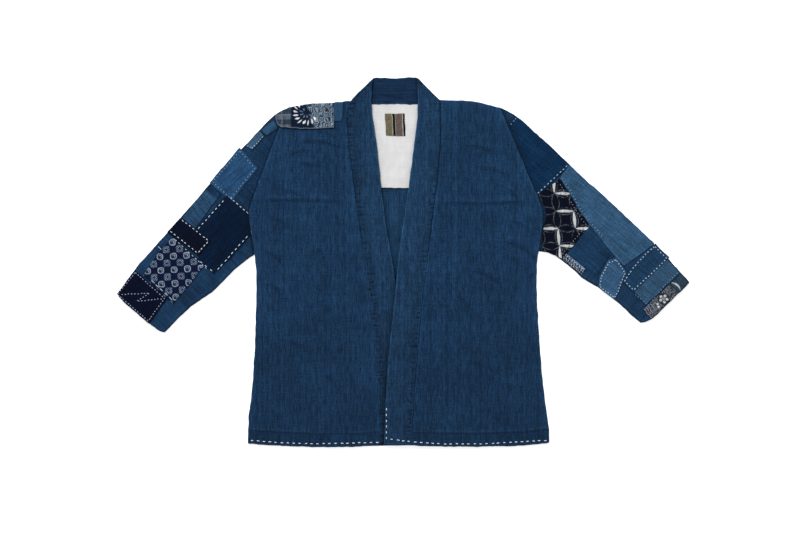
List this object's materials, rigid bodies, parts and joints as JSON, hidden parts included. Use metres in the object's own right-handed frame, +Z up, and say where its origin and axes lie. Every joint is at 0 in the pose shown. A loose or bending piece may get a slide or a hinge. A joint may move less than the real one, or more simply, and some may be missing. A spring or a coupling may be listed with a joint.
{
  "type": "noragi jacket",
  "caption": "Short open-fronted work jacket with a band collar and patched three-quarter sleeves, laid flat with its front up.",
  "frame": {"origin": "on the surface that the jacket lies on, under the middle of its outline", "axes": "+X to the wearer's left (the viewer's right), across the whole width; +Y from the hem to the collar; +Z up, away from the surface, out of the front of the jacket"},
  "size_m": [1.142, 0.7349, 0.0091],
  "materials": {
    "indigo_body": "slub cotton, indigo dyed, matt",
    "indigo_band": "slub cotton, indigo dyed, folded band, matt",
    "indigo_inside": "inside of the collar, darker indigo, matt",
    "indigo_sleeve": "slub cotton, indigo dyed, matt",
    "white_lining": "plain white cotton",
    "striped_label": "plain striped cloth, no text",
    "light_blue": "faded blue slub cotton",
    "mid_blue": "mid-blue plain cotton",
    "navy": "dark navy cotton",
    "black_indigo": "near-black indigo cotton",
    "deep_indigo": "deep indigo cotton",
    "squares_print": "navy cotton printed with white squares",
    "circles_print": "black cotton with white overlapping circles",
    "flower_print": null
  },
  "bodies": {
    "root": {"back_panel": "indigo_body", "neck_lining": "white_lining", "label_patch": "striped_label", "front_right": "indigo_body", "band_right": "indigo_band", "sleeve_right": "indigo_sleeve", "front_left": "indigo_body", "band_left": "indigo_band", "sleeve_left": "indigo_sleeve", "collar_back": "indigo_inside", "patch_right_shoulder_light": "light_blue", "patch_right_shoulder_print": "flower_print", "patch_right_upper_light": "light_blue", "patch_right_small_pale": "light_blue", "patch_right_mid_blue": "mid_blue", "patch_right_slub_blue": "mid_blue", "patch_right_navy": "navy", "patch_right_black": "black_indigo", "patch_right_squares": "squares_print", "patch_right_edge_light": "light_blue", "patch_right_cuff_navy": "navy", "patch_left_upper_indigo": "deep_indigo", "patch_left_circles": "circles_print", "patch_left_long_light": "light_blue", "patch_left_mid_indigo": "indigo_sleeve", "patch_left_speckled": "black_indigo", "patch_left_hexagon": "light_blue", "patch_left_dark_stitched": "deep_indigo", "patch_left_light_strip": "light_blue", "patch_left_cuff_print": "flower_print"}
  },
  "joints": []
}
